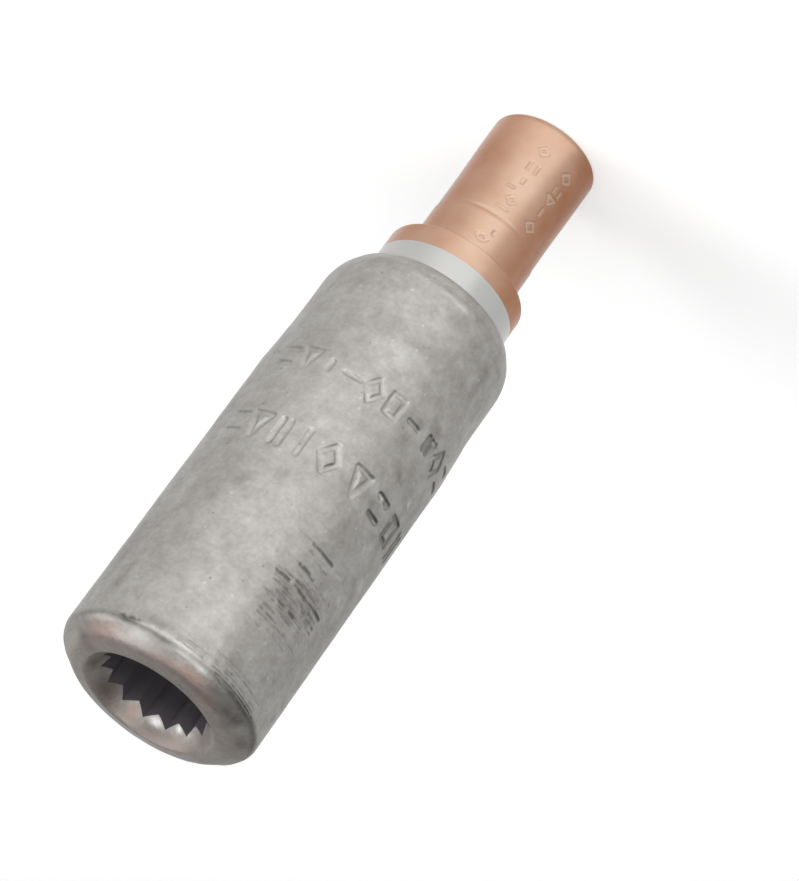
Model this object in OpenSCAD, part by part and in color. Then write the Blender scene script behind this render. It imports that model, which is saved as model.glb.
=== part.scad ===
// Bimetallic compression connector: an aluminium barrel with a toothed blind bore,
// friction-welded face to face onto a slimmer copper barrel with a plain blind bore.
// It stands on the open end of the copper barrel, with the aluminium mouth on top.

/* [Aluminium barrel] */
// Length of the aluminium, from the lip of its mouth to the weld
barrel_l = 81.5; // [76:0.5:110]
// Outer diameter of the barrel
barrel_d = 32; // [30:0.5:40]
// How much smaller the diameter is past the drawn-down step
draw_down = 0.9; // [0.2:0.1:1.6]
// Distance from the lip to the start of the drawn-down step
full_l = 54.5; // [48:0.5:57]
// Length of the gentle taper of the step
taper_l = 8.5; // [5:0.5:9]

/* [Shoulder and neck] */
// Diameter of the turned neck, and of the copper collar that it is welded to
neck_d = 23; // [21:0.5:24]
// Length of the turned neck, from the shoulder to the weld
neck_l = 5; // [3:0.5:6]
// Radius of the rounded shoulder
shoulder_r = 7.5; // [6:0.5:10]
// Length of the rounded shoulder along the axis
shoulder_l = 5; // [3:0.5:5.5]
// Radius of the fillet between the shoulder and the neck
neck_fillet_r = 0.8; // [0.4:0.1:1]

/* [Mouth] */
// Diameter of the lip, where the crowned end meets the lead-in
lip_d = 21.5; // [20:0.5:23]
// Radius of the crowned end face, a dome centred on the axis
crown_r = 28; // [25:1:40]
// Rounding between the crowned end and the barrel
corner_r = 2; // [1:0.25:2.5]
// Full angle of the conical lead-in
lead_in_angle = 75; // [60:5:90]

/* [Toothed bore] */
// Number of sharp teeth that run along the bore
tooth_count = 15; // [12:1:20]
// Diameter across the tooth crests, which grip the conductor
crest_d = 16.2; // [14:0.1:17]
// Diameter across the bottoms of the grooves
groove_d = 18.1; // [17.4:0.1:19]
// Depth of the toothed bore from the lip
bore_l = 58; // [45:0.5:60]

/* [Copper barrel] */
// Diameter of the stem
stem_d = 17.6; // [16.5:0.1:19]
// Length of the stem, from the collar to its open end
stem_l = 26.7; // [26:0.1:40]
// Length of the collar, from the stem to the weld
collar_l = 3.8; // [3.5:0.1:8]
// Rounding on the edge of the collar
collar_edge_r = 0.5; // [0.2:0.1:1]
// Radius of the fillet between the collar and the stem
stem_fillet_r = 0.6; // [0.2:0.1:1]
// Rounding on the open end of the stem
end_edge_r = 0.4; // [0.2:0.1:1]
// Distance from the open end to the fine step on the stem
step_l = 18.9; // [16:0.1:22]
// Depth of the fine step, past which the stem is slightly waisted
step_depth = 0.12; // [0.05:0.01:0.2]
// Distance from the open end to where the waist runs out
waist_end_l = 5; // [3:0.5:8]

/* [Copper bore] */
// Diameter of the plain blind bore
copper_bore_d = 13; // [11:0.1:13.5]
// Depth of the plain bore, without its drill point
copper_bore_l = 24; // [18:0.5:24.5]
// Width of the chamfer at the mouth of the copper bore
bore_chamfer = 0.5; // [0.2:0.1:0.8]
// Angle of the drill point at the bottom of both bores
point_angle = 118; // [110:1:140]

/* [Hidden] */
$fn = 180;

// Stations along the axis, from the open end of the copper upwards
weld_z = stem_l + collar_l;
shoulder_z = weld_z + neck_l;
lip_z = weld_z + barrel_l;
taper_top_z = lip_z - full_l;
taper_foot_z = taper_top_z - taper_l;

// Radii of the aluminium
barrel_r = barrel_d / 2;
drawn_r = barrel_r - draw_down / 2;
neck_r = neck_d / 2;
lip_r = lip_d / 2;
crest_r = crest_d / 2;
groove_r = groove_d / 2;

// The crown is a ball centred on the axis, and the corner circle touches it and the barrel
crown_z = lip_z - sqrt(pow(crown_r, 2) - pow(lip_r, 2));
corner_x = barrel_r - corner_r;
corner_z = crown_z + sqrt(pow(crown_r - corner_r, 2) - pow(corner_x, 2));
crown_edge_x = corner_x * crown_r / (crown_r - corner_r);

// Radii of the copper
stem_r = stem_d / 2;
waist_r = stem_r - step_depth;
copper_bore_r = copper_bore_d / 2;

// A cut that opens at a face runs past it by this much
past = 1;

// Depth of a drill point of radius r
function point_depth(r) = r / tan(point_angle / 2);

// Depth of the lead-in cone from its apex to where its radius is r
function lead_in_depth(r) = r / tan(lead_in_angle / 2);

// Corners of the toothed bore: crest, groove, crest, with the first crest on the X axis
function tooth_points() = [
    for (i = [0 : 2 * tooth_count - 1])
        let (r = i % 2 == 0 ? crest_r : groove_r, a = i * 180 / tooth_count)
        [r * cos(a), r * sin(a)]
];

// Half section of the domed end, from the axis out to where the corner circle takes over
module crown_section() {
    intersection() {
        translate([0, crown_z]) circle(crown_r);
        translate([0, corner_z]) square([crown_edge_x, lip_z - corner_z]);
    }
}

// Half section of the rounded shoulder, which ends in a flat face around the neck
module shoulder_section() {
    intersection() {
        translate([0, shoulder_z]) square([drawn_r, shoulder_l]);
        union() {
            square([drawn_r - shoulder_r, shoulder_z + shoulder_l]);
            translate([drawn_r - shoulder_r, shoulder_z + shoulder_l]) circle(shoulder_r);
        }
    }
}

// Half section of a fillet of radius r in the corner above a step at x, z, facing down
module fillet_section(x, z, r) {
    difference() {
        translate([x - r, z - r]) square([2 * r, 2 * r]);
        translate([x + r, z - r]) circle(r);
    }
}

// Half section of the solid aluminium, without its bore
module aluminium_section() {
    polygon([
        [0, shoulder_z + shoulder_l],
        [drawn_r, shoulder_z + shoulder_l],
        [drawn_r, taper_foot_z],
        [barrel_r, taper_top_z],
        [barrel_r, corner_z],
        [0, corner_z]
    ]);
    crown_section();
    translate([corner_x, corner_z]) circle(corner_r);
    shoulder_section();
    fillet_section(neck_r, shoulder_z, neck_fillet_r);
    translate([0, weld_z]) square([neck_r, neck_l]);
}

// Toothed bore with its lead-in cone and the drill point below the teeth
module toothed_bore() {
    cone_h = lead_in_depth(lip_r) + past;
    translate([0, 0, lip_z - bore_l])
        linear_extrude(bore_l + past) polygon(tooth_points());
    translate([0, 0, lip_z - lead_in_depth(lip_r)])
        cylinder(h = cone_h, r1 = 0, r2 = cone_h * tan(lead_in_angle / 2));
    translate([0, 0, lip_z - bore_l - point_depth(crest_r)])
        cylinder(h = point_depth(crest_r), r1 = 0, r2 = crest_r);
}

module aluminium_barrel() {
    color([0.70, 0.69, 0.67])
    difference() {
        rotate_extrude() aluminium_section();
        toothed_bore();
    }
}

// Half section of the stem, with its fine step and the waist that runs out below it
module stem_section() {
    polygon([
        [0, end_edge_r],
        [stem_r, end_edge_r],
        [stem_r, waist_end_l],
        [waist_r, (waist_end_l + step_l) / 2],
        [waist_r, step_l],
        [stem_r, step_l + step_depth],
        [stem_r, stem_l],
        [0, stem_l]
    ]);
    square([stem_r - end_edge_r, stem_l]);
    translate([stem_r - end_edge_r, end_edge_r]) circle(end_edge_r);
}

// Half section of the collar, as wide as the neck that it is welded to
module collar_section() {
    translate([0, stem_l + collar_edge_r]) square([neck_r, collar_l - collar_edge_r]);
    translate([0, stem_l]) square([neck_r - collar_edge_r, collar_l]);
    translate([neck_r - collar_edge_r, stem_l + collar_edge_r]) circle(collar_edge_r);
    fillet_section(stem_r, stem_l, stem_fillet_r);
}

// Plain blind bore with a chamfered mouth and a drill point
module plain_bore() {
    mouth_r = copper_bore_r + bore_chamfer;
    translate([0, 0, -past]) cylinder(h = past + copper_bore_l, r = copper_bore_r);
    translate([0, 0, copper_bore_l])
        cylinder(h = point_depth(copper_bore_r), r1 = copper_bore_r, r2 = 0);
    translate([0, 0, -past])
        cylinder(h = past + bore_chamfer, r1 = mouth_r + past, r2 = copper_bore_r);
}

module copper_barrel() {
    color([0.79, 0.59, 0.48])
    difference() {
        rotate_extrude() union() {
            stem_section();
            collar_section();
        }
        plain_bore();
    }
}

aluminium_barrel();
copper_barrel();
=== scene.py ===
"""Looks of a bimetallic compression connector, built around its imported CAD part.

An aluminium barrel with a toothed bore is welded end to end to a slimmer copper barrel.
Both are remodelled finely as turned shells, with the small dents, stamped marks and scuffs
of a real forging, and stand in for the plain CAD nodes of the same size.
"""

import logging
import math
from collections.abc import Callable, Iterable
from dataclasses import dataclass, field
from enum import Enum

import bmesh
import bpy
import numpy as np
from mathutils import Matrix, Vector, noise


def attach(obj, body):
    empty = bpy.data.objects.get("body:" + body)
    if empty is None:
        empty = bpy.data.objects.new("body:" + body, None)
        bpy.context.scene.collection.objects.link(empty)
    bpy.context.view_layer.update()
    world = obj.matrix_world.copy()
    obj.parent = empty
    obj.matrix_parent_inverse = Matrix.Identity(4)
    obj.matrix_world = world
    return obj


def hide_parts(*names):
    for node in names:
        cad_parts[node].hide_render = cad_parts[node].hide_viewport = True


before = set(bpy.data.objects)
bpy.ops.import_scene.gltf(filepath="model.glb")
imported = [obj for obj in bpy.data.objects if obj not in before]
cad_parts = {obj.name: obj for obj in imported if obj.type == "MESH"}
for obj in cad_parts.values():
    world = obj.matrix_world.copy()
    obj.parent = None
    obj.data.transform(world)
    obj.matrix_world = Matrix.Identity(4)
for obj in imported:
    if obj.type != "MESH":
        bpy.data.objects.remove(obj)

LOG = logging.getLogger("connector")
MM = 0.001
# Nearly all values of a noise texture lie between these
NOISE_LOW, NOISE_HIGH = 0.3, 0.7
# Points nearer to a line than NEAR lie on it, and those within AXIS_R lie on the axis
NEAR, AXIS_R = 0.01, 1e-6
# Places of the bore's and the neck's materials on the aluminium, after that of the skin
BORE_SLOT, NECK_SLOT = 1, 2

Array = np.ndarray


def smooth_ramp(value: Array, start: float, end: float) -> Array:
    """Rises smoothly from 0 at start to 1 at end, which may lie below start."""
    share = np.clip((value - start) / (end - start), 0.0, 1.0)
    return share * share * (3.0 - 2.0 * share)


def turn_between(azimuth: Array, centre: float) -> Array:
    """Signed angle from centre to azimuth, in degrees, by the shorter way round."""
    return (azimuth - centre + 180.0) % 360.0 - 180.0


def linear_rgba(code: str) -> tuple[float, float, float, float]:
    """Turns an sRGB hex code such as "#c8c4be" into the linear colour a shader takes."""
    parts = [int(code[i : i + 2], 16) / 255 for i in (1, 3, 5)]
    lin = [c / 12.92 if c <= 0.04045 else ((c + 0.055) / 1.055) ** 2.4 for c in parts]
    return (lin[0], lin[1], lin[2], 1.0)


def mesh_from(bm: bmesh.types.BMesh, name: str) -> bpy.types.Mesh:
    """Turns a bmesh into a mesh of that name, and frees the bmesh."""
    mesh = bpy.data.meshes.new(name)
    bm.to_mesh(mesh)
    bm.free()
    return mesh


def link(name: str, data: bpy.types.ID) -> bpy.types.Object:
    """Links a new object of that name, with that data, into the scene."""
    made = bpy.data.objects.new(name, data)
    bpy.context.scene.collection.objects.link(made)
    return made


# ---- marks and wear


@dataclass(frozen=True)
class Stroke:
    """A straight pressed or scratched line on a turned surface.

    Azimuths are in degrees, and every other size is in millimetres.
    """

    z0: float
    azimuth0: float
    z1: float
    azimuth1: float
    width: float
    depth: float

    def cover(self, z: Array, azimuth: Array, radius: float, wall: float) -> Array:
        """Says how far each point lies inside the stroke.

        Args:
            z: Heights of the points, in millimetres.
            azimuth: Azimuths of the points, in degrees.
            radius: Radius of the surface, which turns azimuths into lengths.
            wall: Width of the sloping side of the stroke.

        Returns:
            1 on the floor of the stroke, falling to 0 past its sides.
        """
        arc = math.radians(1.0) * radius
        run_x = turn_between(np.array(self.azimuth1), self.azimuth0) * arc
        run_y = self.z1 - self.z0
        x = turn_between(azimuth, self.azimuth0) * arc
        y = z - self.z0
        length_2 = max(run_x * run_x + run_y * run_y, 1e-9)
        along = np.clip((x * run_x + y * run_y) / length_2, 0.0, 1.0)
        distance = np.hypot(x - along * run_x, y - along * run_y)
        half = self.width / 2
        return smooth_ramp(distance, half + wall / 2, half - wall / 2)


def pressed(
    strokes: Iterable[Stroke], z: Array, azimuth: Array, radius: float, wall: float
) -> Array:
    """Depth of the deepest stroke at each point, with the same measures as Stroke.cover."""
    depth = np.zeros(len(z))
    for stroke in strokes:
        depth = np.maximum(depth, stroke.cover(z, azimuth, radius, wall) * stroke.depth)
    return depth


def on_walls(core: Array) -> Array:
    """Peaks at 1 on the walls of the marks, and is 0 on their floors and between them."""
    return 4.0 * core * (1.0 - core)


@dataclass(frozen=True)
class Spots:
    """Soft-edged spots on a turned surface: those of the skin, and those of the lead-in.

    Each row holds z, azimuth, half height, half angle and the strength at the middle.
    """

    skin: Iterable[tuple[float, ...]]
    lead_in: Iterable[tuple[float, ...]] = ()

    def at(
        self,
        z: Array,
        azimuth: Array,
        on_skin: Array | float = 1.0,
        in_lead_in: Array | float = 0.0,
    ) -> Array:
        """Adds up the spots at each point, in the share it takes of skin and lead-in."""
        total = np.zeros(len(z))
        for rows, share in ((self.skin, on_skin), (self.lead_in, in_lead_in)):
            for middle, turn, half_z, half_azimuth, strength in rows:
                across = turn_between(azimuth, turn) / half_azimuth
                fade = np.exp(-(((z - middle) / half_z) ** 2) - across**2)
                total += share * strength * fade
        return total


class Punch(Enum):
    """Plain stamped shapes, none a letter or a number: both ends of lines within -1 to 1."""

    TICK = ((-1, 0, 1, 0),)
    TICKS = ((-1, -0.6, 1, -0.6), (-1, 0.6, 1, 0.6))
    DASH = ((0, -1, 0, 1),)
    DASHES = ((-0.8, -1, -0.8, 1), (0.8, -1, 0.8, 1))
    DIAMOND = ((-1, 0, 0, 1), (0, 1, 1, 0), (1, 0, 0, -1), (0, -1, -1, 0))
    SQUARE = ((-1, -1, -1, 1), (-1, 1, 1, 1), (1, 1, 1, -1), (1, -1, -1, -1))
    TRIANGLE = ((-1, -1, -1, 1), (-1, 1, 1, 0), (1, 0, -1, -1))
    DOT = ((0, 0, 0, 0),)


@dataclass(frozen=True)
class StampedMark:
    """One punched mark, centred at a height and azimuth."""

    punch: Punch
    z: float
    azimuth: float
    height: float
    width: float
    line: float
    depth: float

    def strokes(self, radius: float) -> list[Stroke]:
        """Splits the mark into strokes, for a surface of that radius."""
        high = self.height / 2
        wide = math.degrees(self.width / 2 / radius)
        return [
            Stroke(
                self.z + a * high,
                self.azimuth + b * wide,
                self.z + c * high,
                self.azimuth + d * wide,
                self.line,
                self.depth,
            )
            for a, b, c, d in self.punch.value
        ]


# ---- tables of marks and wear

# Stamped marks of the aluminium: shape, azimuth, height and width
UPPER_MARKS = (
    (Punch.DASHES, -170, 4, 2),
    (Punch.DIAMOND, -156, 4.2, 2.8),
    (Punch.TICKS, -141.5, 2.2, 1.6),
    (Punch.DASH, -127, 0, 2),
    (Punch.SQUARE, -112.5, 3.4, 2),
    (Punch.DIAMOND, -99, 4.2, 2.8),
    (Punch.DASH, -86, 0, 2.6),
    (Punch.TICK, -72.5, 1.6, 0),
    (Punch.TRIANGLE, -59, 3.6, 2.4),
    (Punch.DASHES, -45.5, 3.4, 2),
)
LOWER_MARKS = (
    (Punch.TICKS, -171, 4.2, 2.2),
    (Punch.SQUARE, -156.5, 3.8, 2.2),
    (Punch.DASHES, -139, 4.2, 2.2),
    (Punch.TRIANGLE, -120.5, 4.2, 2.8),
    (Punch.DIAMOND, -100.5, 4.6, 3.2),
    (Punch.TICK, -85, 4.4, 0),
    (Punch.TICKS, -71.5, 4.2, 2.2),
    (Punch.TRIANGLE, -57, 4.2, 2.8),
    (Punch.DASHES, -43.5, 4, 2.2),
)
# Stamped marks of the copper: shape, z, azimuth, height and width
COPPER_MARKS = (
    (Punch.DIAMOND, 5, -97, 1.6, 1.5),
    (Punch.TICKS, 8.5, -97.5, 1.2, 2.2),
    (Punch.TICK, 11.3, -97, 0.9, 0),
    (Punch.DASH, 13.2, -90, 0, 0.8),
    (Punch.DIAMOND, 15.2, -99, 1.5, 1.6),
    (Punch.DASH, 17.2, -95, 0, 1.6),
    (Punch.TICK, 21.8, -104, 0.6, 0),
    (Punch.DIAMOND, 23.5, -96, 1.3, 1.9),
    (Punch.DIAMOND, 5.8, -133, 1.9, 1.9),
    (Punch.TICKS, 8.6, -133, 1.1, 2),
    (Punch.TRIANGLE, 10.7, -132, 1.3, 1.7),
    (Punch.TICK, 13.2, -131, 1.3, 0),
    (Punch.DIAMOND, 16.4, -131, 1.9, 1.9),
)
# Scratches beside the mouth and round the rim: both ends' z and azimuth, width and depth
SCRATCHES = (
    (83.9, -144, 83.9, -136, 0.2, 0.04),
    (84, -136, 84, -120, 0.42, 0.12),
    (83.9, -120, 83.9, -111, 0.18, 0.04),
    (85, -133, 85.1, -121, 0.3, 0.05),
    (86.1, -140, 86, -131, 0.25, 0.03),
    (87.8, -131.5, 87.7, -120.5, 0.55, 0.12),
    (88.4, -133, 88.3, -124, 0.22, 0.04),
    (90.8, -150, 90.6, -142, 0.55, 0.15),
    (90.6, -142, 90.9, -134, 0.36, 0.1),
    (90.9, -134, 90.6, -126, 0.42, 0.12),
    (90.6, -126, 90.8, -111.5, 0.5, 0.15),
    (91.6, -143, 91.7, -128, 0.22, 0.04),
    (92.5, -150, 92.4, -137, 0.4, 0.08),
    (92.7, -133, 92.6, -121, 0.25, 0.05),
    (93.4, -140, 93.3, -130, 0.22, 0.04),
    (94.2, -135, 94.1, -122, 0.45, 0.1),
    (94, -122, 93.8, -116, 0.25, 0.05),
    (95.1, -128, 95, -117, 0.2, 0.04),
    (96, -129, 95.9, -112, 0.35, 0.06),
    (97.3, -150, 97.2, -135, 0.25, 0.05),
    (97.3, -133, 97.5, -116, 0.3, 0.06),
    (98.6, -142, 98.4, -128, 0.18, 0.03),
    (80.7, -150.5, 80.9, -147, 0.4, 0.08),
    (88, -150, 88, -147, 0.45, 0.06),
    (105.9, -138, 106, -112, 0.2, 0.05),
    (106.6, -150, 106.5, -118, 0.2, 0.05),
    (107.2, -126, 107.3, -96, 0.18, 0.05),
    (107.7, -152, 107.6, -112, 0.2, 0.06),
    (108.2, -150, 108.2, -92, 0.18, 0.06),
    (108.4, -72, 108.5, -56, 0.45, 0.08),
    (108.6, -152, 108.7, -118, 0.2, 0.07),
    (109, -148, 109.1, -122, 0.18, 0.06),
)
# Spots: z, azimuth, half height, half angle and strength
# Mostly painted light: highlights on the lit taper, the shoulder's edge and the mouth's corner, a
# painted light band on the far crown, and painted shade down the darker sides; the rest are darker
# and paler patches of the skin
FORGED_TONE = (
    (51.8, -99, 1.8, 11, 0.7),
    (48.5, -100, 1.2, 22, -0.4),
    (45, -148, 5, 3.5, -0.6),
    (46, -48, 5, 3, 0.45),
    (39.1, -112, 0.35, 4, 1.3),
    (38.9, -101, 0.3, 4.5, 1.1),
    (38, -105, 0.45, 30, -0.6),
    (66, -72, 4, 18, 0.25),
    (83, -58, 5, 8, -0.35),
    (102.5, -44, 2, 4, -0.7),
    (92, -131, 4.5, 13, -0.45),
    (102, -105, 4, 10, 0.4),
    (80, -172, 22, 14, -0.5),
    (96, -26, 11, 12, -0.75),
    (66, -24, 9, 8, -0.4),
    (107.6, -80, 0.9, 18, -0.85),
    (108.8, -64, 0.6, 7, -1.2),
    (109.1, -83, 0.4, 7, -0.8),
    (110.1, -74, 0.5, 6, 0.5),
    (109.3, -98, 0.6, 8, 0.5),
    (109.4, -111, 0.5, 5, 1),
    (110.4, -142, 0.5, 7, -0.6),
    (109.9, -149, 0.7, 4, -0.9),
    (110.2, -172, 0.8, 6, -0.9),
    (111, -42, 0.15, 14, -0.7),
    (110.7, 95, 0.8, 40, 0.9),
    (111.8, -27, 0.4, 6, -1),
)
# Painted highlights on the cut ends of the teeth, and darker blotches of the lead-in
LEAD_IN_TONE = (
    (109.4, 97, 0.5, 7, 2.2),
    (109.2, 122, 0.4, 4, 1.2),
    (109.6, 136, 0.5, 5, 0.9),
    (110.5, 84, 0.7, 8, 0.6),
    (110.7, 2, 0.7, 7, -1.3),
    (110.9, -29, 0.8, 7, -1.6),
    (110.4, 46, 0.6, 9, -0.9),
    (110.8, 100, 1.3, 50, -1.2),
    (111.6, -29, 0.5, 6, -1.1),
    (111.3, 115, 0.7, 45, -0.7),
)
SMEARS = (
    (108.8, -63, 0.35, 4, 0.35),
    (109.2, -88, 0.25, 4, 0.3),
    (109.9, -149, 0.6, 3.5, 0.35),
    (110.5, -140, 0.25, 6, 0.15),
    (110.9, -29, 0.5, 5, 0.35),
    (112, -92, 0.1, 42, 0.45),
)
WARMTH = (
    (110.3, -46, 1, 14, 0.55),
    (110.9, -92, 0.4, 10, 0.45),
    (110.5, -110, 0.5, 10, 0.85),
    (111, -128, 0.5, 9, 0.45),
    (111.2, 0, 0.9, 400, 0.22),
    (112, -92, 0.12, 42, 0.8),
)
LEAD_IN_WARMTH = (
    (110, 0, 2, 400, 0.12),
    (109.7, 46, 0.4, 6, 0.7),
    (109.8, 73, 0.5, 5, 0.9),
)
# Painted glints: near-white spots standing for highlights on the mouth's corner, between the teeth,
# on the far crown and on a few marks
POLISH = (
    (109.9, -74, 0.45, 5, 0.14),
    (109.2, -96, 0.55, 8, 0.1),
    (109.4, -110, 0.45, 4, 0.15),
    (111.7, 88, 0.35, 50, 0.22),
    (57.8, -144.9, 0.35, 1.1, 1),
    (70.7, -137.8, 0.4, 1.2, 1),
    (71, -152.4, 0.35, 1, 0.7),
    (66.8, -156.7, 0.3, 1, 0.6),
)
LEAD_IN_POLISH = (
    (109.4, 97, 0.45, 6, 1.1),
    (109.1, 122, 0.35, 3, 0.6),
    (111.7, 88, 0.5, 50, -0.22),
)
# Painted light on the copper: a paler painted highlight along the lit band, painted shade down the
# darker sides, and a painted highlight beside painted shade at the two edges of the step
COPPER_TONE = (
    (14, -100, 40, 22, 0.45),
    (14, -144, 40, 16, -0.32),
    (14, -172, 40, 15, -0.85),
    (14, -40, 40, 16, -0.25),
    (18.6, -92, 0.22, 22, 0.8),
    (19.3, -92, 0.2, 22, -0.6),
)


# ---- turned shells


class ProfilePen:
    """Draws a half section in the XZ plane with bmesh operators, one station after another."""

    def __init__(self, bm: bmesh.types.BMesh, r: float, z: float) -> None:
        """Puts the pen down at radius r and height z, in millimetres."""
        self.bm = bm
        self.tip = bm.verts.new((r * MM, 0.0, z * MM))

    def line(self, r: float, z: float, steps: int) -> None:
        """Draws a straight line to radius r and height z, cut into that many edges."""
        step = (Vector((r * MM, 0.0, z * MM)) - self.tip.co) / steps
        for _ in range(steps):
            made = bmesh.ops.extrude_vert_indiv(self.bm, verts=[self.tip])
            self.tip = made["verts"][0]
            bmesh.ops.translate(self.bm, verts=[self.tip], vec=step)

    def arc(self, r: float, z: float, degrees: float, steps: int) -> None:
        """Turns the tip about the centre at r, z; a positive angle runs outwards and down."""
        made = bmesh.ops.spin(
            self.bm,
            geom=[self.tip],
            cent=(r * MM, 0.0, z * MM),
            axis=(0.0, 1.0, 0.0),
            angle=math.radians(degrees),
            steps=steps,
        )
        self.tip = [v for v in made["geom_last"] if isinstance(v, bmesh.types.BMVert)][0]


@dataclass
class TurnedShell:
    """A closed shell spun about the Z axis, whose points are then moved in and out."""

    name: str
    columns: int = 240
    mesh: bpy.types.Mesh = field(init=False)

    def spin(self, draw: Callable[[bmesh.types.BMesh], None]) -> None:
        """Spins the half section that draw puts into a bmesh, and keeps the closed mesh."""
        bm = bmesh.new()
        draw(bm)
        bmesh.ops.spin(
            bm,
            geom=bm.verts[:] + bm.edges[:],
            cent=(0.0, 0.0, 0.0),
            axis=(0.0, 0.0, 1.0),
            angle=math.tau,
            steps=self.columns,
            use_merge=True,
        )
        bmesh.ops.remove_doubles(bm, verts=bm.verts[:], dist=1e-7)
        self.refine(bm)
        bmesh.ops.recalc_face_normals(bm, faces=bm.faces[:])
        for face in bm.faces:
            face.smooth = True
        self.mesh = mesh_from(bm, self.name)

    def refine(self, bm: bmesh.types.BMesh) -> None:
        """Cuts chosen faces finer; a plain shell keeps them as they are."""

    def read(self, items: bpy.types.bpy_prop_collection, key: str) -> Array:
        """Reads one vector of each item."""
        flat = np.zeros(len(items) * 3, np.float32)
        items.foreach_get(key, flat)
        return flat.reshape(-1, 3).astype(float)

    def points(self) -> Array:
        """Positions of the vertices in millimetres."""
        return self.read(self.mesh.vertices, "co") / MM

    def place(self, points: Array) -> None:
        """Writes the positions of the vertices back, from millimetres."""
        self.mesh.vertices.foreach_set("co", (points * MM).astype(np.float32).ravel())
        self.mesh.update()

    def normals(self) -> Array:
        """Outward unit normals of the vertices."""
        return self.read(self.mesh.vertex_normals, "vector")

    def paint(self, name: str, values: Array) -> None:
        """Stores one number at each vertex, for the material to read by name."""
        layer = self.mesh.attributes.new(name, "FLOAT", "POINT")
        layer.data.foreach_set("value", values.astype(np.float32))

    def sharpen(self, is_sharp: Callable[[Vector, float], bool]) -> None:
        """Marks edges as sharp, judged by their middle in millimetres and their angle."""
        bm = bmesh.new()
        bm.from_mesh(self.mesh)
        for edge in bm.edges:
            middle = (edge.verts[0].co + edge.verts[1].co) / 2 / MM
            if is_sharp(middle, math.degrees(edge.calc_face_angle(0.0))):
                edge.smooth = False
        bm.to_mesh(self.mesh)
        bm.free()

    def stand(self, *materials: bpy.types.Material) -> bpy.types.Object:
        """Links the mesh into the scene as one object at the origin, with its materials."""
        for material in materials:
            self.mesh.materials.append(material)
        return link(self.name, self.mesh)


def polar(points: Array) -> tuple[Array, Array, Array]:
    """Radius and height in millimetres, and azimuth in degrees, of each point."""
    azimuth = np.degrees(np.arctan2(points[:, 1], points[:, 0]))
    return np.hypot(points[:, 0], points[:, 1]), points[:, 2], azimuth


def unevenness(points: Array, size: float, seed: float) -> Array:
    """Smooth noise from about -1 to 1 at each point, with hills size millimetres apart."""
    shift = Vector((seed, 2.3 * seed, 4.1 * seed))
    return np.array([noise.noise(Vector(p) / size + shift) for p in points])


@dataclass(frozen=True)
class Relief:
    """An uneven measure: its mean, and swells given as distance between hills, seed and swing."""

    mean: float
    swells: tuple[tuple[float, float, float], ...]

    def at(self, points: Array, where: Array) -> Array:
        """The measure at the points that where marks, given in millimetres, and 0 at the others."""
        total = np.where(where, self.mean, 0.0)
        for size, seed, swing in self.swells:
            total[where] += swing * unevenness(points[where], size, seed)
        return total


# ---- materials


class ShaderBench:
    """One material's node tree, to which nodes are added one by one."""

    def __init__(self, name: str) -> None:
        """Starts an empty material of that name, with its output node."""
        self.material = bpy.data.materials.new(name)
        self.material.use_nodes = True
        self.tree = self.material.node_tree
        self.tree.nodes.clear()
        self.output = self.add("ShaderNodeOutputMaterial")

    def add(self, kind: str, settings: dict | None = None, **inputs: object) -> bpy.types.Node:
        """Adds a node.

        Args:
            kind: Blender's name for the node type.
            settings: Properties of the node.
            **inputs: A value or an output socket for each input, with _ for a space,
                or in_ and a number for an input known by its place.

        Returns:
            The new node.
        """
        node = self.tree.nodes.new(kind)
        for key, value in (settings or {}).items():
            setattr(node, key, value)
        for key, value in inputs.items():
            place = int(key[3:]) if key.startswith("in_") else key.replace("_", " ")
            if isinstance(value, bpy.types.NodeSocket):
                self.tree.links.new(value, node.inputs[place])
            else:
                node.inputs[place].default_value = value
        return node

    def finish(self, shader: bpy.types.Node) -> bpy.types.Material:
        """Links the last shader to the surface, and hands the material over."""
        self.tree.links.new(shader.outputs[0], self.output.inputs["Surface"])
        return self.material

    def finish_lit(
        self, under: bpy.types.Node, share: bpy.types.NodeSocket, strength: float
    ) -> bpy.types.Material:
        """Finishes the material with a white glow over the shader under it."""
        power = self.add(
            "ShaderNodeMath", {"operation": "MULTIPLY"}, in_0=share, in_1=strength
        ).outputs[0]
        glow = self.add("ShaderNodeEmission", Strength=power).outputs[0]
        return self.finish(self.add("ShaderNodeAddShader", in_0=under.outputs[0], in_1=glow))


def grains_per_metre(size_mm: float) -> float:
    """Scale of a noise on Object coordinates whose grains are size_mm apart."""
    return 1.0 / (size_mm * MM)


@dataclass(frozen=True)
class Grain:
    """One size of cloud or pit in a skin: spacing, detail and how far it shifts the tone."""

    size_mm: float
    detail: float
    swing: float


@dataclass(frozen=True)
class Speck:
    """Scattered tiny dots in a skin: how far apart, how big, how strong and of what colour."""

    spacing_mm: float
    radius_mm: float
    strength: float
    colour: str


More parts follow.
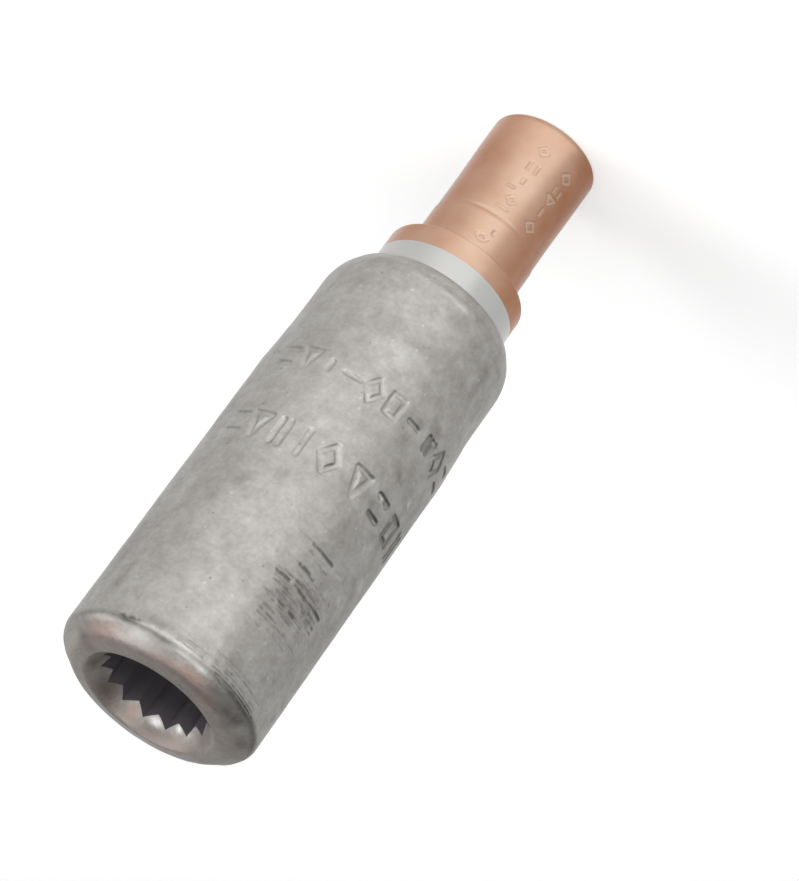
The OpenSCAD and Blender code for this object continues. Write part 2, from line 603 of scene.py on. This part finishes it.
@dataclass(frozen=True)
class TumbledAluminium:
    """Cold-forged aluminium that was tumbled: dull, finely pitted and cloudy grey.

    The eye gets a soft, broad shine from the many tiny dents, with no mirror image.
    """

    # Ends of the tone mix: a lit grey and a shaded grey, which paint light and shade as well as the
    # skin's cloudy grey
    light: str = "#b2b0ac"
    dark: str = "#827f7b"
    grime: str = "#3f3c3b"
    # Dark colour of the painted shade on the walls of the marks, of the darkened scratches and of
    # the smears
    warm: str = "#a28a80"
    # Near-white colour of the painted glints
    polish: str = "#f6f5f2"
    haze: Grain = Grain(9.0, 2.0, 0.17)
    cloud: Grain = Grain(2.2, 4.0, 0.44)
    pits: Grain = Grain(0.65, 1.0, 0.18)
    # Pock: dark pits of the skin; glint: pale specks painted as tiny glints
    pock: Speck = Speck(2.9, 0.26, 0.40, "#4d4a48")
    glint: Speck = Speck(2.7, 0.32, 0.20, "#d9d8d4")
    roughness: float = 0.48
    relief_mm: float = 0.06
    tone_reach: float = 1.1

    def make(self) -> bpy.types.Material:
        """Builds the material of the forged outside."""
        b = ShaderBench("tumbled_aluminium")
        place = b.add("ShaderNodeTexCoord").outputs["Object"]
        tone = b.add("ShaderNodeAttribute", {"attribute_name": "tone"}).outputs["Fac"]
        normal = b.add("ShaderNodeNewGeometry").outputs["Normal"]
        for grain in (self.haze, self.cloud, self.pits):
            fac = b.add(
                "ShaderNodeTexNoise",
                Vector=place,
                Scale=grains_per_metre(grain.size_mm),
                Detail=grain.detail,
                Roughness=0.6,
            ).outputs["Fac"]
            swing = b.add(
                "ShaderNodeMapRange",
                Value=fac,
                From_Min=NOISE_LOW,
                From_Max=NOISE_HIGH,
                To_Min=-grain.swing,
                To_Max=grain.swing,
            ).outputs["Result"]
            tone = b.add("ShaderNodeMath", {"operation": "ADD"}, in_0=tone, in_1=swing).outputs[0]
            if grain is not self.haze:
                normal = b.add(
                    "ShaderNodeBump",
                    Strength=0.6,
                    Distance=self.relief_mm * MM,
                    Height=fac,
                    Normal=normal,
                ).outputs["Normal"]
        # The tone adds painted light and shade to the random clouds and pits of the skin
        share = b.add(
            "ShaderNodeMapRange",
            Value=tone,
            From_Min=-self.tone_reach,
            From_Max=self.tone_reach,
        ).outputs[0]
        layers = [(share, self.light)]
        for speck in (self.pock, self.glint):
            cells = b.add(
                "ShaderNodeTexVoronoi", Vector=place, Scale=grains_per_metre(speck.spacing_mm)
            ).outputs["Distance"]
            dot = b.add(
                "ShaderNodeMapRange",
                Value=cells,
                From_Min=speck.radius_mm / speck.spacing_mm,
                From_Max=0.4 * speck.radius_mm / speck.spacing_mm,
                To_Max=speck.strength,
            ).outputs["Result"]
            layers.append((dot, speck.colour))
        for name, tint in (("warmth", self.warm), ("polish", self.polish), ("grime", self.grime)):
            amount = b.add("ShaderNodeAttribute", {"attribute_name": name}).outputs["Fac"]
            layers.append((amount, tint))
        colour = linear_rgba(self.dark)
        for amount, tint in layers:
            colour = b.add(
                "ShaderNodeMix",
                {"data_type": "RGBA"},
                Factor=amount,
                in_6=colour,
                in_7=linear_rgba(tint),
            ).outputs[2]
        shader = b.add(
            "ShaderNodeBsdfPrincipled",
            Base_Color=colour,
            Metallic=1.0,
            Roughness=self.roughness,
            Normal=normal,
        )
        return b.finish(shader)


@dataclass(frozen=True)
class TurnedAluminium:
    """Aluminium fresh from the lathe: paler and shinier, with faint rings from the tool."""

    colour: str = "#b0b0ae"
    ring_mm: float = 0.3
    ring_depth_mm: float = 0.02
    roughness: float = 0.27

    def make(self) -> bpy.types.Material:
        """Builds the material of the neck."""
        b = ShaderBench("turned_aluminium")
        place = b.add("ShaderNodeTexCoord").outputs["Object"]
        height = b.add("ShaderNodeSeparateXYZ", Vector=place).outputs["Z"]
        rings = b.add(
            "ShaderNodeTexNoise",
            {"noise_dimensions": "1D"},
            W=height,
            Scale=grains_per_metre(self.ring_mm),
            Detail=2.0,
        ).outputs["Fac"]
        bump = b.add("ShaderNodeBump", Strength=0.3, Distance=self.ring_depth_mm * MM, Height=rings)
        shader = b.add(
            "ShaderNodeBsdfPrincipled",
            Base_Color=linear_rgba(self.colour),
            Metallic=1.0,
            Roughness=self.roughness,
            Normal=bump.outputs["Normal"],
        )
        return b.finish(shader)


@dataclass(frozen=True)
class GreasedBore:
    """Toothed bore whose wall is painted dark as painted shade deep in the bore, with faint smeared
    ridges in its bump.
    """

    # Dark colour of the wall: painted shade of the deep bore
    film: str = "#5d585e"
    ridge_mm: float = 1.2
    ridge_depth_mm: float = 0.1
    roughness: float = 0.55

    def make(self) -> bpy.types.Material:
        """Builds the material of the bore wall."""
        b = ShaderBench("bore_painted_shade")
        place = b.add("ShaderNodeTexCoord").outputs["Object"]
        smear = b.add(
            "ShaderNodeTexNoise", Vector=place, Scale=grains_per_metre(self.ridge_mm), Detail=3.0
        )
        bump = b.add(
            "ShaderNodeBump",
            Strength=0.4,
            Distance=self.ridge_depth_mm * MM,
            Height=smear.outputs["Fac"],
        )
        shader = b.add(
            "ShaderNodeBsdfPrincipled",
            Base_Color=linear_rgba(self.film),
            Metallic=0.0,
            Roughness=self.roughness,
            Normal=bump.outputs["Normal"],
        )
        return b.finish(shader)


@dataclass(frozen=True)
class SatinCopper:
    """Turned and pickled copper with a satin skin: salmon pink, with a soft shine.

    A thin oxide makes it browner in places at random, and the pickling leaves a faint orange peel.
    The paler colour also paints a highlight along the lit band, and the browner colour paints shade
    down the dark sides.
    """

    # Paler colour, also a painted highlight along the lit band; browner colour, also painted shade
    # on the dark sides
    clean: str = "#bea28e"
    brown: str = "#9e6b4e"
    grime: str = "#7c5646"
    peel_mm: float = 0.7
    peel_depth_mm: float = 0.03
    cloud_mm: float = 6.0
    roughness: float = 0.31

    def make(self) -> bpy.types.Material:
        """Builds the material of the copper barrel."""
        b = ShaderBench("satin_copper")
        place = b.add("ShaderNodeTexCoord").outputs["Object"]
        cloud, peel = (
            b.add(
                "ShaderNodeTexNoise", Vector=place, Scale=grains_per_metre(size), Detail=detail
            ).outputs["Fac"]
            for size, detail in ((self.cloud_mm, 3.0), (self.peel_mm, 2.0))
        )
        share = b.add(
            "ShaderNodeMapRange",
            Value=cloud,
            From_Min=NOISE_LOW,
            From_Max=NOISE_HIGH,
            To_Min=0.35,
            To_Max=0.65,
        ).outputs[0]
        tone, grime = (
            b.add("ShaderNodeAttribute", {"attribute_name": name}).outputs["Fac"]
            for name in ("tone", "grime")
        )
        share = b.add("ShaderNodeMath", {"operation": "ADD"}, in_0=share, in_1=tone).outputs[0]
        colour = linear_rgba(self.brown)
        for amount, tint in ((share, self.clean), (grime, self.grime)):
            colour = b.add(
                "ShaderNodeMix",
                {"data_type": "RGBA"},
                Factor=amount,
                in_6=colour,
                in_7=linear_rgba(tint),
            ).outputs[2]
        bump = b.add(
            "ShaderNodeBump", Strength=0.25, Distance=self.peel_depth_mm * MM, Height=peel
        )
        shader = b.add(
            "ShaderNodeBsdfPrincipled",
            Base_Color=colour,
            Metallic=1.0,
            Roughness=self.roughness,
            Normal=bump.outputs["Normal"],
        )
        return b.finish(shader)


# ---- the two barrels


@dataclass
class AluminiumBarrel(TurnedShell):
    """Forged barrel with its toothed bore, crowned mouth, shoulder and turned neck."""

    name: str = "aluminium_barrel_skin"
    teeth: int = 15
    crest_r: float = 8.1
    groove_r: float = 9.05
    bore_z: float = 54.0
    bore_point_z: float = 49.13
    lip_r: float = 10.75
    lip_z: float = 112.0
    lead_in_half_angle: float = 37.5
    crown_r: float = 28.0
    corner_r: float = 2.0
    barrel_r: float = 16.0
    drawn_r: float = 15.55
    straight_top_z: float = 107.0
    taper_top_z: float = 57.5
    taper_foot_z: float = 49.0
    shoulder_top_z: float = 40.5
    shoulder_r: float = 7.5
    face_z: float = 35.5
    fillet_r: float = 0.8
    neck_r: float = 11.5
    weld_z: float = 30.5
    lip_rounding: float = 2.0
    lip_sink: float = 0.30
    crown_reach: float = 2.5
    swell_r: float = 13.3
    swell_half: float = 1.2
    swell_height: float = 0.32
    wear_inset: float = 0.6
    wear_z: float = 109.5
    wear_reach: float = 2.6
    forging: Relief = Relief(0.06, ((9.0, 3.0, 0.055), (3.6, 7.0, 0.035), (1.5, 11.0, 0.018)))
    battering: Relief = Relief(0.03, ((2.4, 29.0, 0.05),))
    stamp_wall: float = 0.5
    stamp_depth: float = 0.26
    stamp_wear: Relief = Relief(0.8, ((1.7, 23.0, 0.45),))
    # Painted highlight that makes the floors of the marks paler
    mark_shine: float = 0.45
    # Painted shade on the walls of the marks, and more of it towards the shaded side
    mark_grime: float = 0.12
    more_grime: float = 0.45
    grimy_from: tuple[float, float] = (-118.0, -138.0)
    scratch_wall: float = 0.3
    scratch_wear: Relief = Relief(0.0, ((0.9, 17.0, 1.0),))
    scratch_fade: tuple[float, float] = (-0.55, 0.25)
    scratch_grime: float = 0.55
    scratch_full: float = 0.09
    scuffs: int = 90
    scuff_seed: int = 8
    blots: int = 420
    blot_seed: int = 21
    blot_swing: float = 0.48
    more_swing: float = 1.05
    scuffed_from: tuple[float, float] = (-112.0, -136.0)
    tooth_angle: float = 25.0
    sharp_angle: float = 60.0

    def lead_in_z(self, radius: Array | float) -> Array | float:
        """Height at which the lead-in cone has that radius."""
        lip_run = (self.lip_r - radius) / math.tan(math.radians(self.lead_in_half_angle))
        return self.lip_z - lip_run

    def draw(self, bm: bmesh.types.BMesh) -> None:
        """Draws the half section, from the bottom of the bore round to the weld."""
        crown_z = self.lip_z - math.sqrt(self.crown_r**2 - self.lip_r**2)
        corner_x = self.barrel_r - self.corner_r
        corner_z = crown_z + math.sqrt((self.crown_r - self.corner_r) ** 2 - corner_x**2)
        lip_angle = math.degrees(math.asin(self.lip_r / self.crown_r))
        edge_angle = math.degrees(math.atan2(corner_x, corner_z - crown_z))
        shoulder_x = self.drawn_r - self.shoulder_r
        drop = self.shoulder_top_z - self.face_z
        shoulder_angle = math.degrees(math.asin(drop / self.shoulder_r))
        fillet_z = self.face_z - self.fillet_r

        pen = ProfilePen(bm, 0.0, self.bore_point_z)
        pen.line(self.crest_r, self.bore_z, 4)
        pen.line(self.crest_r, float(self.lead_in_z(self.crest_r)), 12)
        pen.line(self.lip_r, self.lip_z, 7)
        pen.arc(0.0, crown_z, edge_angle - lip_angle, 12)
        pen.arc(corner_x, corner_z, 90.0 - edge_angle, 8)
        pen.line(self.barrel_r, self.taper_top_z, 112)
        pen.line(self.drawn_r, self.taper_foot_z, 18)
        pen.line(self.drawn_r, self.shoulder_top_z, 18)
        pen.arc(shoulder_x, self.shoulder_top_z, shoulder_angle, 12)
        pen.line(self.neck_r + self.fillet_r, self.face_z, 3)
        pen.arc(self.neck_r + self.fillet_r, fillet_z, -90.0, 4)
        pen.line(self.neck_r, self.weld_z, 6)
        pen.line(0.0, self.weld_z, 3)

    def marks(self) -> list[StampedMark]:
        """Two rows of plain stamped marks round the front of the barrel, and two dots."""
        # Height of each row, width of its lines, and its marks
        rows = ((59.0, 0.78, UPPER_MARKS), (72.2, 0.86, LOWER_MARKS))
        made = [
            StampedMark(punch, z, azimuth, height, width, line, self.stamp_depth)
            for z, line, row in rows
            for punch, azimuth, height, width in row
        ]
        for z, azimuth in ((57.9, -146.0), (70.8, -142.5)):
            made.append(StampedMark(Punch.DOT, z, azimuth, 0.0, 0.0, 0.9, self.stamp_depth))
        return made

    def scratches(self) -> list[Stroke]:
        """Scratches where the barrel was dragged sideways over something rough."""
        rows = list(SCRATCHES)
        bundle = np.random.default_rng(self.scuff_seed)
        # Each scuff by chance: height, where it starts, how far it runs, slope, width, depth
        for _ in range(self.scuffs):
            z = bundle.normal(92.5, 2.8)
            start = bundle.uniform(-151.0, -119.0)
            end = start + bundle.uniform(4.0, 14.0)
            slope, width = bundle.uniform(-0.15, 0.15), bundle.uniform(0.10, 0.28)
            rows.append((z, start, z + slope, end, width, bundle.uniform(0.03, 0.10)))
        return [Stroke(*row) for row in rows]

    def refine(self, bm: bmesh.types.BMesh) -> None:
        """Cuts the faces finer where the marks and scratches of the front lie."""
        # Lowest and highest z, first and last azimuth
        bands = [
            (55.4, 62.0, -178.0, -36.0),
            (69.0, 75.6, -178.0, -36.0),
            (83.0, 98.9, -153.0, -109.0),
            (105.4, 110.2, -155.0, -54.0),
        ]
        chosen: set[bmesh.types.BMEdge] = set()
        for face in bm.faces:
            middle = face.calc_center_median() / MM
            if math.hypot(middle.x, middle.y) < self.drawn_r - 0.5:
                continue
            azimuth = math.degrees(math.atan2(middle.y, middle.x))
            if any(a < middle.z < b and start < azimuth < end for a, b, start, end in bands):
                chosen.update(face.edges)
        bmesh.ops.subdivide_edges(bm, edges=list(chosen), cuts=2, use_grid_fill=True)

    def cut_teeth(self) -> None:
        """Pulls the bore wall out into grooves, and follows them with the edge of the lead-in."""
        points = self.points()
        radius, z, azimuth = polar(points)
        pitch = 360.0 / self.teeth
        from_crest = np.abs((azimuth + pitch / 2) % pitch - pitch / 2)
        crest_angle, groove_angle = np.radians(from_crest), math.radians(pitch / 2)
        run = self.groove_r * math.sin(groove_angle)
        rise = self.groove_r * math.cos(groove_angle) - self.crest_r
        flank = self.crest_r * run / (run * np.cos(crest_angle) - rise * np.sin(crest_angle))
        crest_top = self.lead_in_z(self.crest_r)
        new_r, new_z = radius.copy(), z.copy()
        inside = (z > self.bore_point_z + NEAR) & (radius < self.lip_r - NEAR)
        wall = inside & (np.abs(radius - self.crest_r) < NEAR)
        lead_in = inside & (radius > self.crest_r + NEAR) & (z > self.bore_z + 1.0)
        share = (z - self.bore_z) / (crest_top - self.bore_z)
        new_r[wall] = flank[wall]
        new_z[wall] = (self.bore_z + share * (self.lead_in_z(flank) - self.bore_z))[wall]
        share = (radius - self.crest_r) / (self.lip_r - self.crest_r)
        cone_r = flank + share * (self.lip_r - flank)
        new_r[lead_in] = cone_r[lead_in]
        new_z[lead_in] = self.lead_in_z(cone_r)[lead_in]
        scale = np.divide(new_r, radius, out=np.ones_like(radius), where=radius > AXIS_R)
        points[:, 0] *= scale
        points[:, 1] *= scale
        points[:, 2] = new_z
        self.place(points)

    def round_off(self) -> None:
        """Brings the points that the finer cut added out onto the round barrel."""
        points = self.points()
        radius, z, _ = polar(points)
        taper = (z - self.taper_foot_z) / (self.taper_top_z - self.taper_foot_z)
        right = self.drawn_r + np.clip(taper, 0.0, 1.0) * (self.barrel_r - self.drawn_r)
        skin = (z > self.shoulder_top_z) & (z < self.straight_top_z) & (radius > self.drawn_r - 0.3)
        points[skin, :2] *= (right / np.maximum(radius, AXIS_R))[skin, None]
        self.place(points)

    def build(self) -> bpy.types.Object:
        """Models, wears and dresses the barrel.

        Returns:
            The finished object.
        """
        self.spin(self.draw)
        self.round_off()
        self.cut_teeth()

        points = self.points()
        radius, z, azimuth = polar(points)
        outside = smooth_ramp(radius, self.lip_r - 0.2, self.lip_r + 0.8)
        outside *= smooth_ramp(z, self.face_z - 0.1, self.face_z + 1.2)
        lead_in = (radius > self.crest_r - 0.1) & (radius < self.lip_r) & (z > self.taper_top_z)
        skin = radius > self.drawn_r - 0.5

        stamps = [stroke for mark in self.marks() for stroke in mark.strokes(self.barrel_r)]
        stamped = pressed(stamps, z, azimuth, self.barrel_r, self.stamp_wall) * skin
        stamped *= self.stamp_wear.at(points, stamped > 0.0)
        scratched = pressed(self.scratches(), z, azimuth, self.barrel_r, self.scratch_wall) * skin
        gaps = self.scratch_wear.at(points, scratched > 0.0)
        scratched *= smooth_ramp(gaps, *self.scratch_fade)
        dent, sunk = self.dents(points, outside), self.sunk(radius, z)
        points -= self.normals() * (dent + np.maximum(stamped, scratched))[:, None]
        points[:, 2] -= sunk
        self.place(points)

        core = np.clip(stamped / self.stamp_depth, 0.0, 1.0)
        # The tone holds painted highlights and painted shade, besides the skin's blots, and a
        # painted highlight on the floor of each mark
        tone = Spots(FORGED_TONE, LEAD_IN_TONE).at(z, azimuth, outside, lead_in)
        tone += self.blotches(z, azimuth) * outside
        self.paint("tone", tone + self.mark_shine * core)
        self.paint("grime", self.grime(z, azimuth, core, scratched))
        # Warmth is the metal's own tint; the other layer paints glints of light
        for name, *rows in (("warmth", WARMTH, LEAD_IN_WARMTH), ("polish", POLISH, LEAD_IN_POLISH)):
            self.paint(name, np.clip(Spots(*rows).at(z, azimuth, 1.0, lead_in), 0.0, 1.0))
        self.sharpen(self.is_edge)
        paints = (TumbledAluminium(), GreasedBore(), TurnedAluminium())
        piece = self.stand(*(paint.make() for paint in paints))
        self.dress(piece)
        return piece

    def dents(self, points: Array, outside: Array) -> Array:
        """Depth of the shallow dents of the forging, and of its battered outer corner."""
        radius, z, _ = polar(points)
        depth = np.maximum(self.forging.at(points, outside > 0.0), 0.0) * outside
        corner = np.hypot(radius - self.barrel_r + self.wear_inset, z - self.wear_z)
        corner = np.clip(1.0 - (corner / self.wear_reach) ** 2, 0.0, 1.0) ** 2
        return depth + corner * self.battering.at(points, corner > 0.0)

    def sunk(self, radius: Array, z: Array) -> Array:
        """How far the rubbed lip sinks, less how far the crown outside it swells."""
        near_lip = np.hypot(radius - self.lip_r, z - self.lip_z) / self.lip_rounding
        on_crown = (radius > self.lip_r) & (z > self.lip_z - self.crown_reach)
        swell = np.exp(-(((radius - self.swell_r) / self.swell_half) ** 2)) * on_crown
        return self.lip_sink * np.clip(1.0 - near_lip, 0.0, 1.0) ** 2 - self.swell_height * swell

    def blotches(self, z: Array, azimuth: Array) -> Array:
        """Small scattered blots, stronger on the side that was scuffed."""
        # Least and greatest z, azimuth, half height, half angle and strength of a blot
        spans = ((37.0, 108.5), (-180.0, 180.0), (0.5, 1.5), (1.8, 5.0), (-0.6, 0.6))
        draw = np.random.default_rng(self.blot_seed)
        rows = [tuple(draw.uniform(*span) for span in spans) for _ in range(self.blots)]
        swing = self.blot_swing + self.more_swing * smooth_ramp(azimuth, *self.scuffed_from)
        return Spots(rows).at(z, azimuth) * swing

    def grime(self, z: Array, azimuth: Array, core: Array, scratched: Array) -> Array:
        """Painted shade along the walls of the marks, stronger towards the shaded side, darkening
        in the scratches, and smears.
        """
        share = self.mark_grime + self.more_grime * smooth_ramp(azimuth, *self.grimy_from)
        in_scratches = self.scratch_grime * np.clip(scratched / self.scratch_full, 0.0, 1.0)
        dirt = np.maximum(share * on_walls(core), in_scratches) + Spots(SMEARS).at(z, azimuth)
        return np.clip(dirt, 0.0, 1.0)

    def is_edge(self, middle: Vector, angle: float) -> bool:
        """Tooth crests, groove bottoms and the weld are sharp."""
        radius = math.hypot(middle.x, middle.y)
        in_bore = radius < self.groove_r + 0.1 and middle.z > self.bore_point_z
        return angle > (self.tooth_angle if in_bore else self.sharp_angle)

    def dress(self, piece: bpy.types.Object) -> None:
        """Gives the bore wall below the lead-in, and the neck, their own materials."""
        for face in piece.data.polygons:
            x, y, z = (c / MM for c in face.center)
            radius = math.hypot(x, y)
            under_cone = z < self.lead_in_z(radius) - 0.02
            if under_cone and radius < self.groove_r + 0.1 and z > self.bore_point_z - 0.5:
                face.material_index = BORE_SLOT
            elif z < self.face_z - 0.05:
                face.material_index = NECK_SLOT


@dataclass
class CopperBarrel(TurnedShell):
    """Turned copper stem and collar with a plain blind bore."""

    name: str = "copper_barrel_skin"
    stem_r: float = 8.8
    waist_r: float = 8.68
    stem_l: float = 26.7
    collar_r: float = 11.5
    collar_top_z: float = 30.5
    collar_edge_r: float = 0.5
    stem_fillet_r: float = 0.6
    end_edge_r: float = 0.4
    waist_end_z: float = 5.0
    step_z: float = 18.9
    step_depth: float = 0.12
    bore_r: float = 6.5
    bore_z: float = 24.0
    bore_chamfer: float = 0.5
    point_angle: float = 118.0
    stamp_wall: float = 0.3
    stamp_line: float = 0.56
    stamp_depth: float = 0.12
    # Painted highlight on the floors of the marks and painted shade on their walls
    mark_shine: float = 0.5
    mark_grime: float = 0.55
    skin_relief: Relief = Relief(0.03, ((6.0, 5.0, 0.02),))
    sharp_angle: float = 40.0

    def draw(self, bm: bmesh.types.BMesh) -> None:
        """Draws the half section, from the bottom of the bore round to the weld."""
        point_z = self.bore_z + self.bore_r / math.tan(math.radians(self.point_angle / 2))
        edge_x = self.stem_r - self.end_edge_r
        fillet_x = self.stem_r + self.stem_fillet_r
        collar_x = self.collar_r - self.collar_edge_r

        pen = ProfilePen(bm, 0.0, point_z)
        pen.line(self.bore_r, self.bore_z, 4)
        pen.line(self.bore_r, self.bore_chamfer, 12)
        pen.line(self.bore_r + self.bore_chamfer, 0.0, 2)
        pen.line(edge_x, 0.0, 2)
        pen.arc(edge_x, self.end_edge_r, -90.0, 5)
        pen.line(self.stem_r, self.waist_end_z, 18)
        pen.line(self.waist_r, (self.waist_end_z + self.step_z) / 2, 28)
        pen.line(self.waist_r, self.step_z, 28)
        pen.line(self.stem_r, self.step_z + self.step_depth, 1)
        pen.line(self.stem_r, self.stem_l - self.stem_fillet_r, 28)
        pen.arc(fillet_x, self.stem_l - self.stem_fillet_r, 90.0, 5)
        pen.line(collar_x, self.stem_l, 4)
        pen.arc(collar_x, self.stem_l + self.collar_edge_r, -90.0, 5)
        pen.line(self.collar_r, self.collar_top_z, 8)
        pen.line(0.0, self.collar_top_z, 3)

    def marks(self) -> list[StampedMark]:
        """Two rows of small plain marks along the stem."""
        return [StampedMark(*row, self.stamp_line, self.stamp_depth) for row in COPPER_MARKS]

    def build(self) -> bpy.types.Object:
        """Models, wears and dresses the copper barrel."""
        self.spin(self.draw)
        points = self.points()
        radius, z, azimuth = polar(points)
        outside = smooth_ramp(radius, self.bore_r + 0.8, self.stem_r - 0.3)
        outside *= smooth_ramp(z, self.collar_top_z - 0.05, self.collar_top_z - 0.8)
        dent = self.skin_relief.at(points, outside > 0.0)
        stamps = [stroke for mark in self.marks() for stroke in mark.strokes(self.stem_r)]
        skin = (radius > self.waist_r - 0.2) & (radius < self.stem_r + 0.1) & (z > 1.0)
        stamped = pressed(stamps, z, azimuth, self.stem_r, self.stamp_wall) * skin
        points -= self.normals() * (dent * outside * smooth_ramp(z, 0.0, 0.6) + stamped)[:, None]
        self.place(points)

        core = stamped / np.max(stamped)
        self.paint("tone", Spots(COPPER_TONE).at(z, azimuth) + self.mark_shine * core)
        self.paint("grime", self.mark_grime * on_walls(core))
        self.sharpen(lambda middle, angle: angle > self.sharp_angle)
        return self.stand(SatinCopper().make())


# ---- studio


@dataclass
class Studio:
    """Pale floor, soft light and the camera.

    The side walls mirror the table before them to the camera, so the bright band along both
    barrels comes from a glowing card on it, as it did from the photographer's table.
    """

    floor_half: float = 2.5
    floor_drop: float = 0.00005
    floor_colour: str = "#e6e6e6"
    floor_lift: float = 0.42
    world_strength: float = 0.05
    card_strength: float = 0.45
    card_azimuths: tuple[float, float] = (-134.0, -30.0)
    card_full_azimuths: tuple[float, float] = (-118.0, -88.0)
    card_radii: tuple[float, float] = (0.0092, 0.27)
    card_z: float = 0.0005
    card_steps: int = 26
    lamp_aim_z: float = 0.06
    lamp_distance: float = 0.9
    lens_mm: float = 163.73
    sensor_mm: float = 36.0
    nearest: float = 0.01
    camera_at_mm: tuple[float, float, float] = (-80.66, -505.03, 334.43)
    camera_right: tuple[float, float, float] = (-0.8461, -0.1584, -0.5089)
    camera_up: tuple[float, float, float] = (0.5179, -0.4703, -0.7146)
    camera_back: tuple[float, float, float] = (-0.1261, -0.8682, 0.4800)

    def lay_floor(self) -> None:
        """Lays the floor that the connector stands on."""
        bm = bmesh.new()
        bmesh.ops.create_grid(bm, x_segments=1, y_segments=1, size=self.floor_half)
        bmesh.ops.translate(bm, verts=bm.verts[:], vec=(0.0, 0.0, -self.floor_drop))
        floor = link("studio_floor", mesh_from(bm, "studio_floor"))
        floor.data.materials.append(self.floor_paint())

    def floor_paint(self) -> bpy.types.Material:
        """Matt white board, lifted to white where the camera or a reflection sees it."""
        b = ShaderBench("white_board")
        board = b.add("ShaderNodeBsdfDiffuse", Color=linear_rgba(self.floor_colour))
        ray = b.add("ShaderNodeLightPath")
        seen = ray.outputs["Is Camera Ray"]
        for name in ("Is Glossy Ray", "Is Transmission Ray"):
            seen = b.add(
                "ShaderNodeMath", {"operation": "MAXIMUM"}, in_0=seen, in_1=ray.outputs[name]
            ).outputs[0]
        return b.finish_lit(board, seen, self.floor_lift)

    def hang_lamps(self) -> None:
        """Hangs the soft lamps round the connector, each aimed at its middle."""
        aim = Vector((0.0, 0.0, self.lamp_aim_z))
        # Name, azimuth, elevation, width in metres and power in watts
        hung = [
            ("key", -101.0, 8.0, 0.5, 3.5),
            ("low_fill", -60.0, 8.0, 0.5, 2.7),
            ("side", 0.0, 30.0, 0.5, 1.8),
            ("back", 85.0, 30.0, 1.2, 2.0),
            ("back_left", 45.0, 14.0, 0.5, 0.6),
            ("back_right", 140.0, 32.0, 0.5, 0.45),
            ("top_left", -15.0, 60.0, 0.6, 2.4),
            ("top_right", -118.0, 60.0, 0.6, 2.5),
        ]
        for name, azimuth, elevation, size, power in hung:
            a, e = math.radians(azimuth), math.radians(elevation)
            way = Vector((math.cos(e) * math.cos(a), math.cos(e) * math.sin(a), math.sin(e)))
            data = bpy.data.lights.new(name, "AREA")
            data.energy, data.shape, data.size = power, "DISK", size
            lamp = link(name, data)
            lamp.location = aim + way * self.lamp_distance
            lamp.rotation_euler = way.to_track_quat("Z", "Y").to_euler()

    def lay_card(self) -> None:
        """Lays a glowing fan-shaped card before the connector, which only its shines show."""
        bm = bmesh.new()
        glow = bm.verts.layers.float.new("glow")
        (start, end), (near, far) = self.card_azimuths, self.card_radii
        tip = bm.verts.new((near, 0.0, self.card_z))
        made = bmesh.ops.extrude_vert_indiv(bm, verts=[tip])
        bmesh.ops.translate(bm, verts=made["verts"], vec=(far - near, 0.0, 0.0))
        turn = Matrix.Rotation(math.radians(start), 3, "Z")
        bmesh.ops.rotate(bm, verts=bm.verts[:], cent=(0.0, 0.0, 0.0), matrix=turn)
        bmesh.ops.spin(
            bm,
            geom=bm.verts[:] + bm.edges[:],
            cent=(0.0, 0.0, 0.0),
            axis=(0.0, 0.0, 1.0),
            angle=math.radians(end - start),
            steps=self.card_steps,
        )
        for vert in bm.verts:
            azimuth = np.array(math.degrees(math.atan2(vert.co.y, vert.co.x)))
            vert[glow] = 1.0
            for edge, full in zip(self.card_azimuths, self.card_full_azimuths):
                vert[glow] *= float(smooth_ramp(azimuth, edge, full))
        card = link("table_glow", mesh_from(bm, "table_glow"))
        card.data.materials.append(self.card_paint())
        card.visible_camera = card.visible_diffuse = card.visible_shadow = False

    def card_paint(self) -> bpy.types.Material:
        """Clear glow that adds to what lies behind it, and fades to the sides of the fan."""
        b = ShaderBench("table_glow")
        share = b.add("ShaderNodeAttribute", {"attribute_name": "glow"}).outputs["Fac"]
        return b.finish_lit(b.add("ShaderNodeBsdfTransparent"), share, self.card_strength)

    def fill_world(self) -> None:
        """Surrounds the scene with even pale light."""
        world = bpy.data.worlds.new("pale_room")
        bpy.context.scene.world = world
        world.use_nodes = True
        back = world.node_tree.nodes["Background"]
        back.inputs["Color"].default_value = (1.0, 1.0, 1.0, 1.0)
        back.inputs["Strength"].default_value = self.world_strength

    def set_camera(self) -> None:
        """Sets the camera where the photograph was taken from."""
        data = bpy.data.cameras.new("camera")
        data.sensor_width = self.sensor_mm
        data.lens = self.lens_mm
        data.clip_start = self.nearest
        camera = link("camera", data)
        axes = (self.camera_right, self.camera_up, self.camera_back)
        turn = Matrix([[axis[row] for axis in axes] for row in range(3)])
        camera.matrix_world = Matrix.Translation(Vector(self.camera_at_mm) * MM) @ turn.to_4x4()
        bpy.context.scene.camera = camera

    def build(self) -> None:
        """Builds the whole studio."""
        self.lay_floor()
        self.hang_lamps()
        self.lay_card()
        self.fill_world()
        self.set_camera()
        bpy.context.scene.view_settings.view_transform = "Standard"


def main() -> None:
    """Builds the connector and its studio, and reports each piece."""
    logging.basicConfig(level=logging.INFO, format="%(name)s: %(message)s")
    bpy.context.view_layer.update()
    Studio().build()
    barrels = (
        (AluminiumBarrel(), "aluminium_barrel", "forged_aluminium"),
        (CopperBarrel(), "copper_barrel", "turned_copper"),
    )
    for shell, node, slot in barrels:
        piece = shell.build()
        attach(piece, "root")
        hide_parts(node)
        LOG.info("%s stands for %s with %d faces", piece.name, node, len(piece.data.polygons))


if __name__ == "__main__":
    main()
